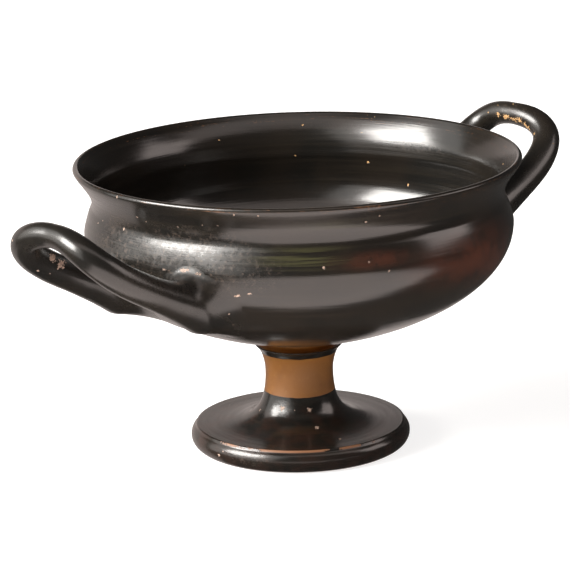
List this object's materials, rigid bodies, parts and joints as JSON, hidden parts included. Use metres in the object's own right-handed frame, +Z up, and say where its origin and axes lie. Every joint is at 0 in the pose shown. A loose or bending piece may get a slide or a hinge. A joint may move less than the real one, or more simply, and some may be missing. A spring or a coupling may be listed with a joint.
{
  "type": "kylix cup",
  "caption": "Stemmed drinking cup with a wide shallow bowl, a concave lip, looped side handles and a disc foot, in black-slipped fired clay.",
  "frame": {"origin": "middle of the foot, on the surface the cup stands on", "axes": "+Z up; +X along both handles, towards the handle on the bowl's raised side; +Y to the left of +X"},
  "size_m": [0.2681, 0.1776, 0.1199],
  "materials": {
    "slipped_clay": "glossy black slip over red-brown clay, worn to the clay in places, with a bare clay band round the stem"
  },
  "bodies": {
    "root": {"kylix": "slipped_clay"}
  },
  "joints": []
}
